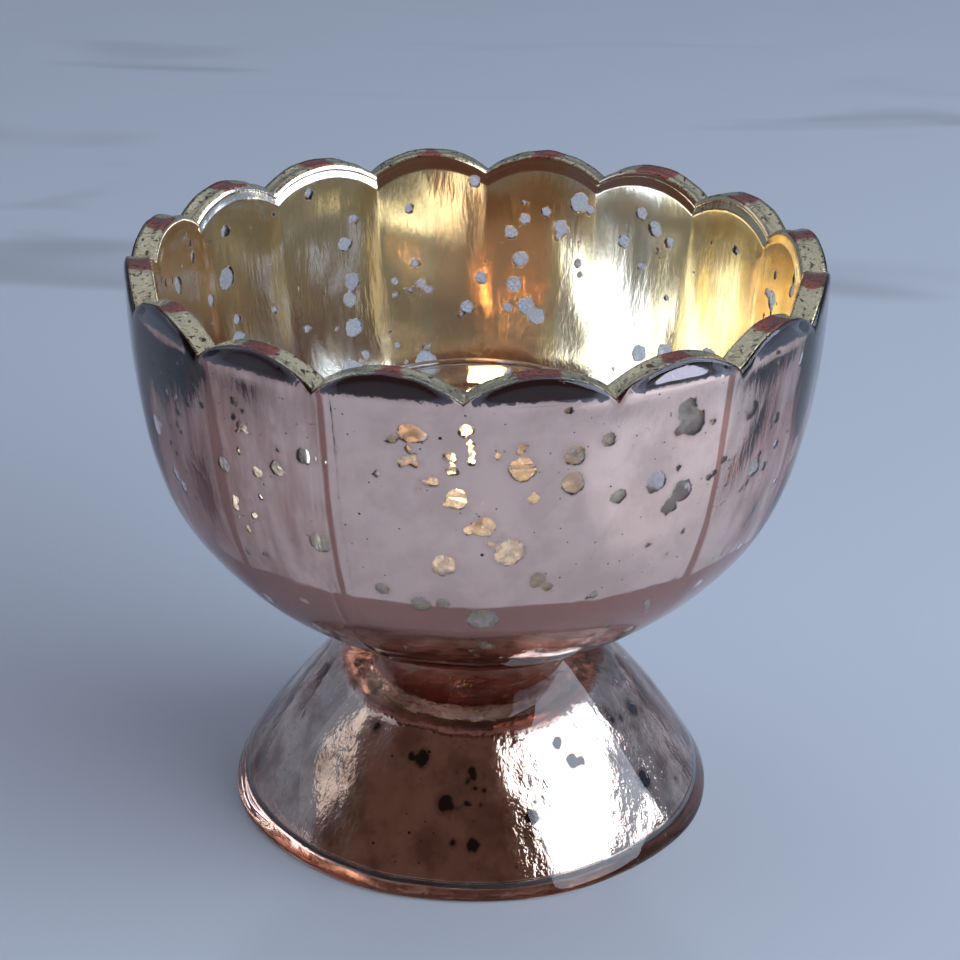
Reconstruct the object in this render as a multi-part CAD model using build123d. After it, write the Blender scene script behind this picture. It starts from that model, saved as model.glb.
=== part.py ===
"""Footed tealight holder: a scalloped mercury-glass bowl on a flared hollow foot, with its tealight.

Units are millimetres. +Z is up, the origin is the centre of the foot's resting face.
"""

from build123d import *
from math import cos, exp, pi, radians, tan
import os

# ---- Driving dimensions -------------------------------------------------------------------
total_height = 80.3
join_height = 27.5  # where the bowl's base sits on the foot

# Bowl: sixteen panels that meet at upright creases, one scallop on each panel.
panel_count = 16
rim_crease_radius = 47.17
base_pinch = 0.84  # how strongly the bowl closes towards its base
base_run = 10.55  # height over which that closing fades
panel_crown = 0.0107  # how far a panel bulges from flat, as a share of the radius
base_ring_radius = 20.4
base_ring_height = 1.0
bowl_ring_count = 13  # rings that shape the bowl up to its waist
rim_ring_count = 3  # and above it
bowl_floor_height = 33.4
bowl_wall = 4.6
waist_height = 76.5  # the wall is thinnest here, just under the scallops
waist_wall = 3.0
waist_run = 10.0  # height over which the wall thins to the waist
rim_lean = 0.26  # how much thicker the wall gets for each millimetre above the waist
scallop_radius = 14.0

# Foot: eight broad panels, hollow from below.
foot_panel_count = 8
foot_crease_radius = 35.0
foot_lean = 0.56
foot_lean_growth = 0.0085
foot_panel_crown = 0.059
foot_wall = 4.2
foot_hollow_height = 20.0
foot_ring_count = 8
hollow_ring_count = 6
clear_band_height = 0.4  # uncoated glass at the foot's edge

# Mirror films.
silver_film = 0.3
lacquer_film = 0.3
foot_film = 0.3

# Tealight: a tall clear cup with the wax burnt down to its lower part.
cup_radius = 19.0
cup_height = 23.0
cup_draft = 0.4
cup_wall = 0.6
cup_bead = 0.5
wax_clearance = 0.2
wax_height = 7.5
melt_pool_radius = 14.0
melt_pool_depth = 1.2
wick_radius = 0.7
wick_stand = 4.5
sustainer_radius = 5.0
sustainer_thickness = 0.3
collar_radius = 1.3
collar_height = 3.0

# ---- Worked-out values --------------------------------------------------------------------
run_out = total_height + 4.0  # lofts run past the rim and are trimmed by the scallops
scallop_centre = total_height - scallop_radius
scallop_cut_low = total_height - 0.45 * scallop_radius  # a little under the notches
cutter_reach = 1.4 * rim_crease_radius
panel_angle = 360.0 / panel_count
foot_panel_angle = 360.0 / foot_panel_count
seat_height = bowl_floor_height + silver_film + lacquer_film
cup_floor = seat_height + cup_wall
wax_top = cup_floor + wax_height
wick_top = wax_top - melt_pool_depth + wick_stand


# ---- Profiles -----------------------------------------------------------------------------
def bowl_radius(z):
    """Radius of the bowl's creases at a height."""
    return rim_crease_radius * exp(-base_pinch * exp(-(z - join_height) / base_run))


def bowl_inner_radius(z):
    """Radius of the bowl's inside creases at a height: the wall is thinnest at the waist."""
    if z > waist_height:
        wall = waist_wall + rim_lean * (z - waist_height)
    else:
        wall = bowl_wall - (bowl_wall - waist_wall) * exp(-(waist_height - z) / waist_run)
    return bowl_radius(z) - wall


def foot_radius(z):
    """Radius of the foot's creases at a height."""
    return foot_crease_radius - foot_lean * z - foot_lean_growth * z * z


def heights(low, high, count):
    """Evenly spaced heights from low to high."""
    return [low + (high - low) * i / (count - 1) for i in range(count)]


def bowl_heights(low):
    """Heights of the bowl's rings: even below the waist, closer above it."""
    below_waist = heights(low, waist_height, bowl_ring_count)
    return below_waist + heights(waist_height + 2.0, run_out, rim_ring_count)


def panelled_ring(z, crease_radius, count, crown, first_crease):
    """A flat face at height z whose outline is count slightly bulging panels."""
    middle_radius = crease_radius * (cos(pi / count) + crown)
    corner, middle = Vector(crease_radius, 0, z), Vector(middle_radius, 0, z)
    turns = [first_crease + i * 360.0 / count for i in range(count)]
    corners = [corner.rotate(Axis.Z, turn) for turn in turns]
    middles = [middle.rotate(Axis.Z, turn + 180.0 / count) for turn in turns]
    arcs = [ThreePointArc(corners[i], middles[i], corners[(i + 1) % count]) for i in range(count)]
    return Face(Wire(arcs))


def bowl_form(radius_at, inset, low):
    """The solid inside one of the bowl's panelled surfaces, moved inwards by inset."""
    rings = [
        panelled_ring(z, radius_at(z) - inset, panel_count, panel_crown, -90.0)
        for z in bowl_heights(low)
    ]
    return loft(rings)


def foot_form(inset, low, high, count):
    """The solid inside the foot's panelled surface, moved inwards by inset."""
    first_crease = -90.0 + foot_panel_angle / 2
    rings = [
        panelled_ring(z, foot_radius(z) - inset, foot_panel_count, foot_panel_crown, first_crease)
        for z in heights(low, high, count)
    ]
    return loft(rings)


def scallop_cutters():
    """Sixteen wedges that leave one rounded scallop on each panel."""
    half_width = cutter_reach * tan(radians(panel_angle / 2))
    outline = Polyline((0, 0), (cutter_reach, -half_width), (cutter_reach, half_width), (0, 0))
    wedge_height = run_out - scallop_cut_low + 1.0
    wedge = Pos(0, 0, scallop_cut_low) * extrude(make_face(outline), wedge_height)
    arch = Rot(0, 90, 0) * Cylinder(scallop_radius, 1.2 * cutter_reach)
    cutter = wedge - Pos(cutter_reach / 2, 0, scallop_centre) * arch
    return [Rot(0, 0, -90 + panel_angle * (i + 0.5)) * cutter for i in range(panel_count)]


def trim_scallops(body):
    """Cuts the sixteen scallops out of a form that runs past the rim."""
    for cutter in scallop_cutters():
        body = body - cutter
    return body


# ---- Glass --------------------------------------------------------------------------------
def make_glass_bowl():
    """Bowl wall, thick floor and the ring it stands on."""
    wall_start = join_height + base_ring_height
    outside = bowl_form(bowl_radius, 0.0, wall_start)
    ring = Pos(0, 0, join_height) * Cylinder(
        base_ring_radius, base_ring_height, align=(Align.CENTER, Align.CENTER, Align.MIN)
    )
    inside = bowl_form(bowl_inner_radius, 0.0, bowl_floor_height)
    return trim_scallops(outside + ring - inside)


def make_glass_foot():
    """Flared foot with a hollow under it and a flat rim to stand on."""
    outside = foot_form(0.0, 0.0, join_height, foot_ring_count)
    hollow = foot_form(foot_wall, 0.0, foot_hollow_height, hollow_ring_count)
    return outside - hollow


# ---- Mirror films -------------------------------------------------------------------------
def make_bowl_film(start, thickness):
    """A film on the bowl's inside that starts this far in from the glass."""
    floor = bowl_floor_height + start
    outer = bowl_form(bowl_inner_radius, start, floor)
    inner = bowl_form(bowl_inner_radius, start + thickness, floor + thickness)
    return trim_scallops(outer - inner)


def make_foot_film():
    """The silvering inside the foot's hollow, above the clear edge."""
    outer = foot_form(foot_wall, 0.0, foot_hollow_height, hollow_ring_count)
    film_top = foot_hollow_height - foot_film
    inner = foot_form(foot_wall + foot_film, 0.0, film_top, hollow_ring_count)
    below = Cylinder(foot_crease_radius, clear_band_height, align=(Align.CENTER, Align.CENTER, Align.MIN))
    return outer - inner - below


# ---- Tealight -----------------------------------------------------------------------------
def cup_inner_radius(z):
    """Inside radius of the tealight's cup at a height."""
    share = (z - seat_height) / cup_height
    return cup_radius - cup_draft - cup_wall + cup_draft * share


def make_cup():
    """Thin moulded cup with a beaded rim."""
    base_radius = cup_radius - cup_draft
    outside = Cone(base_radius, cup_radius, cup_height, align=(Align.CENTER, Align.CENTER, Align.MIN))
    hollow = Pos(0, 0, cup_wall) * Cone(
        base_radius - cup_wall,
        cup_radius - cup_wall,
        cup_height,
        align=(Align.CENTER, Align.CENTER, Align.MIN),
    )
    bead = Pos(0, 0, cup_height - cup_bead) * Torus(cup_radius, cup_bead)
    bore = Cylinder(cup_radius - cup_wall, 2 * cup_height, align=(Align.CENTER, Align.CENTER, Align.MIN))
    return Pos(0, 0, seat_height) * (outside - hollow + (bead - bore))


def make_wax():
    """Part-burnt wax with a shallow melt pool and room for the wick and its holder."""
    low_radius = cup_inner_radius(cup_floor) - wax_clearance
    high_radius = cup_inner_radius(wax_top) - wax_clearance
    block = Cone(low_radius, high_radius, wax_height, align=(Align.CENTER, Align.CENTER, Align.MIN))
    ball_radius = (melt_pool_radius**2 + melt_pool_depth**2) / (2 * melt_pool_depth)
    pool = Pos(0, 0, wax_height - melt_pool_depth + ball_radius) * Sphere(ball_radius)
    body = Pos(0, 0, cup_floor) * (block - pool)
    return body - sustainer_outline() - wick_outline()


def sustainer_outline():
    """Disc and collar that stand the wick up, as one filled outline."""
    disc = Cylinder(sustainer_radius, sustainer_thickness, align=(Align.CENTER, Align.CENTER, Align.MIN))
    collar = Cylinder(collar_radius, collar_height, align=(Align.CENTER, Align.CENTER, Align.MIN))
    return Pos(0, 0, cup_floor) * (disc + collar)


def wick_outline():
    """The wick's round cord, from just above the cup's floor to its burnt tip."""
    start = cup_floor + sustainer_thickness
    cord = Cylinder(wick_radius, wick_top - start, align=(Align.CENTER, Align.CENTER, Align.MIN))
    return Pos(0, 0, start) * cord


# ---- Parts --------------------------------------------------------------------------------
parts = {
    "glass_bowl": make_glass_bowl(),
    "glass_foot": make_glass_foot(),
    "bowl_silvering": make_bowl_film(0.0, silver_film),
    "bowl_lacquer": make_bowl_film(silver_film, lacquer_film),
    "foot_silvering": make_foot_film(),
    "tealight_cup": make_cup(),
    "tealight_wax": make_wax(),
    "wick_sustainer": sustainer_outline() - wick_outline(),
    "tealight_wick": wick_outline(),
}

os.makedirs("parts", exist_ok=True)
for name, shape in parts.items():
    shape.label = name
    export_step(shape, f"parts/{name}.step")
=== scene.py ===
"""Footed mercury-glass tealight holder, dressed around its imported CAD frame.

Sizes inside the script are millimetres in the part's own frame and become metres when a mesh is made.
"""

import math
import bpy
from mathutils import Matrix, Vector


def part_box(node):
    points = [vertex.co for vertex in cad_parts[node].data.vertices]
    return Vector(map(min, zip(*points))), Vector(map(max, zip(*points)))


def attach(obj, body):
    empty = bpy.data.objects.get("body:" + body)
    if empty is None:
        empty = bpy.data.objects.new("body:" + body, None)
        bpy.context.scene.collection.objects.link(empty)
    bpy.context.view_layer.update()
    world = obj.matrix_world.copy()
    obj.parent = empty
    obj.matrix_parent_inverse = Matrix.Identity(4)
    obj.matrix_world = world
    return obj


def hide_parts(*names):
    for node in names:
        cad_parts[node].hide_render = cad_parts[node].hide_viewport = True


bl_info = {
    "name": "Mercury-glass tealight holder",
    "version": (1, 0, 0),
    "blender": (4, 5, 0),
    "location": "3D View > Sidebar > Tealight holder",
    "description": "Builds the glass, mirror films and tealight of a scalloped footed holder",
    "category": "Object",
}

import bpy
import numpy as np
from mathutils import Euler, Matrix, Vector

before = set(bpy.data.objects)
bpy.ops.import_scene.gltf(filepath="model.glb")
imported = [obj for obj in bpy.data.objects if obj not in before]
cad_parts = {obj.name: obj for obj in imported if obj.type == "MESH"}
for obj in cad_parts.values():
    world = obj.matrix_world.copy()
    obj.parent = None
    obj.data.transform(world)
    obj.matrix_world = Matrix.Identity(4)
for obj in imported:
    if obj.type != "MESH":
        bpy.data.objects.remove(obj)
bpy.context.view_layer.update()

MM = 0.001
TURN = 2 * math.pi

# ---- Sizes that come from the frame ---------------------------------------------------------
def reach_of(node):
    """Radius, lowest and highest z of one CAD piece."""
    low, high = (np.array(corner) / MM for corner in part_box(node))
    return high[0], low[2], high[2]


_, JOIN_HEIGHT, RIM_TOP = reach_of("glass_bowl")
_, GLASS_FLOOR, _ = reach_of("bowl_silvering")
_, _, HOLLOW_TOP = reach_of("foot_silvering")
CUP_RADIUS, CUP_LOW, CUP_HIGH = reach_of("tealight_cup")
WAX_RADIUS, WAX_LOW, WAX_HIGH = reach_of("tealight_wax")
_, WICK_LOW, WICK_HIGH = reach_of("tealight_wick")
DISC_RADIUS, DISC_LOW, DISC_HIGH = reach_of("wick_sustainer")

# ---- Driving shape values, the same as the CAD model's ----------------------------------------
PANELS = 16
RIM_CREASE_RADIUS = 47.17
BASE_PINCH = 0.84
BASE_RUN = 10.55
PANEL_CROWN = 0.0107
BOWL_WALL = 4.6
RIM_WALL = 3.85
RIM_RUN = 6.0
WAIST_DEPTH = 2.85  # how deep the silver lies in the wall at its waist, from where it leans in to the rim
WAIST_HEIGHT = 76.5
WAIST_RUN = 10.0
RIM_LEAN = 0.26
SCALLOP_RADIUS = 14.0
BASE_RING_RADIUS = 20.4
FOOT_PANELS = 8
FOOT_CREASE_RADIUS = 35.0
FOOT_LEAN = 0.56
FOOT_LEAN_GROWTH = 0.0085
FOOT_CROWN = 0.059
FOOT_WALL = 4.2

# ---- Finer shape that only the visible glass has ----------------------------------------------
LIP_ROUND = 0.5
LIP_FALL = 1.2
INNER_ROUND = 0.7
INNER_FALL = 1.1
SEAM_HEIGHT = 0.2
SEAM_WIDTH = 0.3
SEAM_ANGLES = (-22.5, 157.5)  # the two halves of the mould met here, measured from -Y towards +X
CREASE_SOFTNESS = 0.22
FOOT_CREASE_SOFTNESS = 0.5
FILM_EMBED = 0.05  # how far a silver film lies inside the glass, so no air shows between them
FILM_THICK = 0.04
FILM_TOP_DROP = 0.85
LACQUER_UNDER, LACQUER_FACE = 0.02, 0.05  # how far the lacquer's two sides stand off the glass
LACQUER_PROUD = 0.03  # the same over the rim
FOOT_FILM_LOW = 0.35
LIP_BAND_HEIGHT = 75.9  # the rose tint ends about here under the lip,
LIP_BAND_FOLLOW = 0.25  # and follows the scallops by this share of the rim's height
LIP_BAND_RIM = 76.8  # over this one


# ---- Shape functions ---------------------------------------------------------------------------
def panel_columns(count, per_panel, first_crease):
    """Angles round the glass, closer together at the creases than across a panel."""
    steps = np.linspace(-1, 1, per_panel, endpoint=False)
    across = 0.35 * steps + 0.65 * np.sin(0.5 * math.pi * steps)
    half = math.pi / count
    centres = first_crease + half * (2 * np.arange(count) + 1)
    return (centres[:, None] + half * across[None, :]).ravel()


def azimuth(points):
    """Degrees round the holder from -Y towards +X, -180 to 180."""
    return np.degrees(np.arctan2(points[:, 0], -points[:, 1]))


def polar(points):
    """Angle and radius of each point."""
    return np.arctan2(points[:, 1], points[:, 0]), np.hypot(points[:, 0], points[:, 1])


def from_panel_centre(theta, count, first_crease):
    """Angle from the middle of the nearest panel."""
    half = math.pi / count
    return np.mod(theta - first_crease, 2 * half) - half


def panelled(theta, crease_radius, count, crown, first_crease, softness):
    """Radius of a ring of slightly bulging panels whose creases are softened."""
    half = math.pi / count
    flat = crease_radius * math.cos(half)
    own = np.abs(from_panel_centre(theta, count, first_crease))
    other = 2 * half - own

    def reach(angle):
        return flat / np.cos(angle) + crown * crease_radius * (1 - (angle / half) ** 2)

    near, far = reach(own), reach(other)
    return near - softness * np.log1p(np.exp(-(far - near) / softness))


BOWL_CREASE = -0.5 * math.pi
FOOT_CREASE = -0.5 * math.pi + math.pi / FOOT_PANELS


def bowl_crease_radius(z):
    return RIM_CREASE_RADIUS * np.exp(-BASE_PINCH * np.exp(-(z - JOIN_HEIGHT) / BASE_RUN))


def bowl_radius(theta, z):
    """Outside of the bowl, with the mould's two seams."""
    radius = panelled(theta, bowl_crease_radius(z), PANELS, PANEL_CROWN, BOWL_CREASE, CREASE_SOFTNESS)
    for angle in SEAM_ANGLES:
        aside = np.angle(np.exp(1j * (theta - BOWL_CREASE - math.radians(angle)))) * radius
        radius = radius + SEAM_HEIGHT * np.exp(-((aside / SEAM_WIDTH) ** 2))
    return radius


def bowl_inner_radius(theta, z):
    """Inside of the bowl: the wall thins a little to the rim."""
    below_rim = np.maximum(rim_height(theta, 0.94 * RIM_CREASE_RADIUS) - z, 0)
    wall = BOWL_WALL - (BOWL_WALL - RIM_WALL) * np.exp(-below_rim / RIM_RUN)
    crease = bowl_crease_radius(z) - wall
    return panelled(theta, crease, PANELS, PANEL_CROWN, BOWL_CREASE, CREASE_SOFTNESS) + inner_ripple(theta, z)


def silver_radius(theta, z):
    """Mirror face of the silver, which leans in from its waist to the rim."""
    above = 0.5 * np.log1p(np.exp(np.clip((z - WAIST_HEIGHT) / 0.5, -30, 30)))
    below = np.maximum(WAIST_HEIGHT - z, 0)
    deep = BOWL_WALL - FILM_EMBED
    depth = deep - (deep - WAIST_DEPTH) * np.exp(-below / WAIST_RUN) + RIM_LEAN * above
    crease = bowl_crease_radius(z) - depth
    return panelled(theta, crease, PANELS, PANEL_CROWN, BOWL_CREASE, CREASE_SOFTNESS) + inner_ripple(theta, z)


def rim_height(theta, radius):
    """Top of the scallops: an arch across each panel."""
    across = radius * np.sin(from_panel_centre(theta, PANELS, BOWL_CREASE))
    return RIM_TOP - SCALLOP_RADIUS + np.sqrt(SCALLOP_RADIUS**2 - across**2)


def foot_radius(theta, z, wall=0.0):
    """Outside of the foot, or a face that lies a wall's thickness inside it."""
    crease = FOOT_CREASE_RADIUS - FOOT_LEAN * z - FOOT_LEAN_GROWTH * z * z - wall
    return panelled(theta, crease, FOOT_PANELS, FOOT_CROWN, FOOT_CREASE, FOOT_CREASE_SOFTNESS)


def foot_inner_radius(theta, z):
    return foot_radius(theta, z, FOOT_WALL) + foot_ripple(theta, z)


def make_ripple(seed, amount, terms, most_turns, most_waves):
    """A smooth seeded unevenness over angle and height, as pressed glass has."""
    chance = np.random.default_rng(seed)
    turns = chance.integers(0, most_turns, terms)
    waves = chance.uniform(-most_waves, most_waves, terms)
    phases = chance.uniform(0, TURN, terms)
    sizes = chance.uniform(0.4, 1.0, terms) * amount / math.sqrt(terms)

    def ripple(theta, z):
        total = 0.0
        for turn, wave, phase, size in zip(turns, waves, phases, sizes):
            total = total + size * np.sin(turn * theta + wave * z + phase)
        return total

    return ripple


inner_ripple = make_ripple(seed=3, amount=0.10, terms=14, most_turns=26, most_waves=0.45)
outer_ripple = make_ripple(seed=8, amount=0.05, terms=12, most_turns=30, most_waves=0.5)
foot_ripple = make_ripple(seed=21, amount=0.16, terms=14, most_turns=22, most_waves=0.6)
rim_ripple = make_ripple(seed=34, amount=0.12, terms=12, most_turns=90, most_waves=1.2)


# ---- Mesh makers -------------------------------------------------------------------------------
def ring_row(theta, radius, z):
    """One closed row of points."""
    radius = np.broadcast_to(radius, theta.shape)
    z = np.broadcast_to(z, theta.shape)
    return np.stack([radius * np.cos(theta), radius * np.sin(theta), z], axis=-1)


def mesh_from_rows(name, rows, close_ends=True, join_loop=False):
    """A piece skinned over closed rows of points; its ends are fans to a middle point or join each other."""
    count = rows[0].shape[0]
    points = np.concatenate(rows)
    index = np.arange(len(rows) * count).reshape(len(rows), count)
    lower = index if join_loop else index[:-1]
    upper = np.roll(index, -1, axis=0) if join_loop else index[1:]
    corners = [lower, np.roll(lower, -1, axis=1), np.roll(upper, -1, axis=1), upper]
    faces = np.stack(corners, axis=-1).reshape(-1, 4).tolist()
    if close_ends and not join_loop:
        middles = [rows[0].mean(axis=0), rows[-1].mean(axis=0)]
        points = np.concatenate([points, middles])
        first, last = len(points) - 2, len(points) - 1
        ahead = np.roll(index, -1, axis=1)
        faces += [[first, ahead[0, i], index[0, i]] for i in range(count)]
        faces += [[last, index[-1, i], ahead[-1, i]] for i in range(count)]
    mesh = bpy.data.meshes.new(name)
    mesh.from_pydata((points * MM).tolist(), [], faces)
    mesh.shade_smooth()
    mesh.update()
    piece = bpy.data.objects.new(name, mesh)
    bpy.context.scene.collection.objects.link(piece)
    return piece


def arc_rows(theta, start_radius, start_z, end_radius, end_z, corner_radius, corner_z, count):
    """Rows along a curve from start to end that leaves and arrives towards the corner."""
    rows = []
    for share in np.linspace(0, 1, count):
        a, b, c = (1 - share) ** 2, 2 * share * (1 - share), share**2
        radius = a * start_radius + b * corner_radius + c * end_radius
        z = a * start_z + b * corner_z + c * end_z
        rows.append(ring_row(theta, radius, z))
    return rows


def inner_wall_rows(theta, offset, top_drop, wall_rows=80, radius_at=bowl_inner_radius):
    """Rows down the bowl's inside and across its floor, moved by offset towards the middle."""
    corner_start = GLASS_FLOOR + 4.2
    top = rim_height(theta, radius_at(theta, RIM_TOP)) - top_drop
    rows = []
    for share in np.linspace(0, 1, wall_rows):
        z = top + (corner_start - top) * share
        rows.append(ring_row(theta, radius_at(theta, z) - offset, z))
    floor = GLASS_FLOOR + offset - (FILM_EMBED if radius_at is silver_radius else 0.0)
    flat_start = 20.8
    start = radius_at(theta, corner_start) - offset
    corner = radius_at(theta, GLASS_FLOOR) - offset
    rows += arc_rows(theta, start, corner_start, flat_start, floor, corner, floor, 9)[1:]
    rows += [ring_row(theta, radius, floor) for radius in (18.0, 13.0, 7.0, 2.0)]
    return rows


def set_attribute(piece, name, values):
    """Stores one number on each vertex."""
    layer = piece.data.attributes.new(name, "FLOAT", "POINT")
    layer.data.foreach_set("value", np.asarray(values, dtype=np.float32))


def vertex_array(piece):
    """Vertices in millimetres."""
    flat = np.empty(len(piece.data.vertices) * 3)
    piece.data.vertices.foreach_get("co", flat)
    return flat.reshape(-1, 3) / MM


# ---- Places where the films have gone ----------------------------------------------------------
# Azimuth in degrees from -Y towards +X, height and radius in millimetres.
BOWL_SPECKS = (
    # on the front panels
    (-8.3, 72.3, 1.4), (-8.0, 69.3, 0.5), (0.3, 73.3, 0.9), (1.0, 71.3, 0.6),
    (1.2, 70.2, 0.5), (1.3, 69.0, 0.5), (-1.1, 63.9, 1.3), (9.2, 67.9, 1.7),
    (9.0, 70.6, 0.8), (17.5, 65.5, 1.5), (17.3, 69.4, 1.4), (11.3, 63.7, 0.9),
    (3.3, 60.2, 1.4), (7.8, 56.3, 1.9), (12.9, 52.0, 1.1), (-3.2, 54.5, 1.5),
    (-7.7, 48.3, 1.2), (-3.7, 48.5, 0.9), (-14.6, 49.9, 0.9), (3.6, 46.0, 1.8),
    (36.5, 72.9, 1.6), (38.0, 71.0, 1.9), (35.2, 70.3, 0.9), (22.5, 71.0, 0.9),
    (32.2, 63.9, 1.5), (25.4, 63.0, 1.0), (37.8, 61.8, 1.5), (35.5, 60.1, 1.2),
    (51.0, 70.0, 1.4), (53.0, 67.0, 0.8), (60.0, 66.7, 0.8), (55.0, 61.0, 1.3),
    (-39.5, 72.0, 0.8), (-38.0, 71.0, 0.6), (-40.0, 70.0, 0.5), (-38.5, 69.0, 0.8),
    (-37.0, 68.3, 0.4), (-39.6, 67.8, 0.4), (-43.7, 62.5, 1.0), (-39.5, 65.2, 0.5),
    (-36.0, 63.0, 0.9), (-31.7, 64.6, 1.2), (-26.0, 67.3, 1.1), (-25.0, 55.5, 1.3),
    # inside the back
    (-149.8, 68.0, 1.1), (-151.0, 62.3, 1.3), (-152.0, 71.5, 0.9), (-164.0, 72.3, 0.8),
    (-166.0, 60.8, 0.9), (-176.0, 57.0, 1.0), (-179.0, 61.5, 1.0), (175.0, 68.5, 1.1),
    (172.8, 64.6, 1.3), (174.0, 60.8, 1.2), (171.0, 57.7, 1.3), (175.3, 57.2, 0.8),
    (168.6, 56.2, 1.2), (172.2, 70.8, 1.0), (147.0, 74.0, 1.0), (143.5, 72.3, 1.2),
    (150.5, 69.2, 1.1), (146.0, 66.2, 0.9), (139.7, 70.8, 0.8), (137.0, 54.5, 1.4),
    (143.5, 53.5, 1.2), (125.0, 56.0, 1.3),
)
SPECK_SEED = 12
SPECK_COUNT = 150
FRONT_SPAN = 65.0  # degrees each side of -Y where only small specks are scattered
FOOT_SPECK_SEED = 5
FOOT_SPECK_COUNT = 34
WELL_COVERED = 3.0  # millimetres from a speck at which a film counts as whole


def bowl_specks():
    """The listed large specks, then smaller ones scattered all round, some of them in clusters."""
    chance = np.random.default_rng(SPECK_SEED)
    specks = list(BOWL_SPECKS)
    for _ in range(SPECK_COUNT):
        angle = chance.uniform(-180, 180)
        height = chance.uniform(36, 77)
        size = 0.45 + 1.6 * chance.random() ** 3
        if abs(angle) < FRONT_SPAN:
            size = 0.3 + 0.35 * chance.random()
        specks.append((angle, height, size))
        if chance.random() < 0.3:
            for _ in range(chance.integers(2, 7)):
                aside, up = chance.normal(0, 2.6, 2)
                specks.append((angle + aside * 1.3, height + up, 0.3 + 0.5 * chance.random()))
    return specks


def foot_specks():
    """Pits in the foot's silvering."""
    chance = np.random.default_rng(FOOT_SPECK_SEED)
    specks = []
    for _ in range(FOOT_SPECK_COUNT):
        angle, height = chance.uniform(-180, 180), chance.uniform(3, 19)
        specks.append((angle, height, 0.3 + 0.8 * chance.random() ** 2))
        if chance.random() < 0.4:
            for _ in range(chance.integers(2, 6)):
                aside, up = chance.normal(0, 1.8, 2)
                specks.append((angle + aside * 2, height + up, 0.2 + 0.35 * chance.random()))
    return specks


def bare_distance(points, specks, farthest=WELL_COVERED):
    """How far each point lies inside the nearest speck's edge, in millimetres; negative outside it."""
    radius = np.hypot(points[:, 0], points[:, 1])
    around = azimuth(points)
    nearest = np.full(len(points), -farthest)
    for angle, height, size in specks:
        aside = np.radians(np.mod(around - angle + 180, 360) - 180) * radius
        along = points[:, 2] - height
        nearest = np.maximum(nearest, size - np.hypot(aside, along))
    return nearest


# Painted shade: how strongly the rose film is painted a darker copper-brown where the bowl shows shade and
# dark
# reflections: in each of the bowl's creases from -Y towards +X, over the panels beside the front ones
# (azimuth in degrees and strength), and below a level line.
CREASE_SHADES = (0.0, 0.0, 0.45, 0.6, 0.8, 0.6, 0.8, 0.5, 0.6, 0.7, 0.5, 0.8, 1.0, 0.95, 0.9, 0.15)
SIDE_SHADE_ANGLES = (-60, -24, -20, 41, 47, 60)
SIDE_SHADES = (0.6, 0.4, 0.0, 0.0, 0.3, 0.5)
SHADE_HEIGHT = 48.0
SHADE_EDGE = 0.6  # height over which the level painted shade fades out
FOOT_POOL = 0.33


def painted_film_shade(points):
    """How strongly painted shade darkens the rose film at each point, 0 to 1."""
    radius = np.hypot(points[:, 0], points[:, 1])
    turn = (np.arctan2(points[:, 0], -points[:, 1]) / (TURN / PANELS)) % PANELS
    nearest = np.round(turn).astype(int)
    aside = np.abs(turn - nearest) * TURN / PANELS * radius
    shades = np.array(CREASE_SHADES)[nearest % PANELS]
    width = 0.25 + 0.65 * shades + 0.25 * shades * np.sin(0.21 * points[:, 2] + 5.0 * nearest)
    painted_shade_and_tone = (shades > 0) * np.clip(1.4 - aside / width, 0, 1)
    sides = np.interp(azimuth(points), SIDE_SHADE_ANGLES, SIDE_SHADES)
    level = np.clip((SHADE_HEIGHT - points[:, 2]) / SHADE_EDGE + 0.5, 0, 1)
    return np.maximum.reduce([painted_shade_and_tone, sides, level])


# ---- Material helpers --------------------------------------------------------------------------
def new_material(name):
    """An empty material, its node tree, and object coordinates in it."""
    material = bpy.data.materials.new(name)
    material.use_nodes = True
    tree = material.node_tree
    tree.nodes.clear()
    return material, tree, put(tree, "ShaderNodeTexCoord", output="Object")


def put(tree, kind, inputs=(), output=0, **settings):
    """Adds a node, fills its inputs with values or links, and returns one of its outputs."""
    node = tree.nodes.new(kind)
    for key, value in settings.items():
        setattr(node, key, value)
    for key, value in dict(inputs).items():
        socket = node.inputs[key]
        if isinstance(value, bpy.types.NodeSocket):
            tree.links.new(value, socket)
        else:
            socket.default_value = value
    return node.outputs[output]


def noise(tree, where, scale, detail=3.0, roughness=0.55, distortion=0.0):
    inputs = {"Vector": where, "Scale": scale, "Detail": detail, "Roughness": roughness}
    return put(tree, "ShaderNodeTexNoise", {**inputs, "Distortion": distortion}, output="Fac")


def noise_about_zero(tree, where, scale, amount, detail=3.0):
    """Fine unevenness between minus and plus half the amount."""
    return calc(tree, "MULTIPLY_ADD", noise(tree, where, scale, detail), amount, -0.5 * amount)


def cells(tree, where, scale):
    """Small cells: how far each place is from its cell's middle, and the cell's own random colour."""
    node = tree.nodes.new("ShaderNodeTexVoronoi")
    tree.links.new(where, node.inputs["Vector"])
    node.inputs["Scale"].default_value = scale
    return node.outputs["Distance"], node.outputs["Color"]


def drawn_out(tree, where, share):
    """Coordinates whose patterns are drawn out from rim to foot."""
    return put(tree, "ShaderNodeMapping", {"Vector": where, "Scale": (1.0, 1.0, share)})


def calc(tree, operation, a, b=0.0, c=0.0):
    return put(tree, "ShaderNodeMath", {0: a, 1: b, 2: c}, operation=operation)


def without(tree, share):
    """The rest of a share."""
    return calc(tree, "SUBTRACT", 1.0, share)


def spread(tree, value, low, high, to_low=0.0, to_high=1.0):
    """Maps low..high smoothly to to_low..to_high."""
    inputs = {"Value": value, "From Min": low, "From Max": high, "To Min": to_low, "To Max": to_high}
    return put(tree, "ShaderNodeMapRange", inputs, interpolation_type="SMOOTHSTEP")


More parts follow.
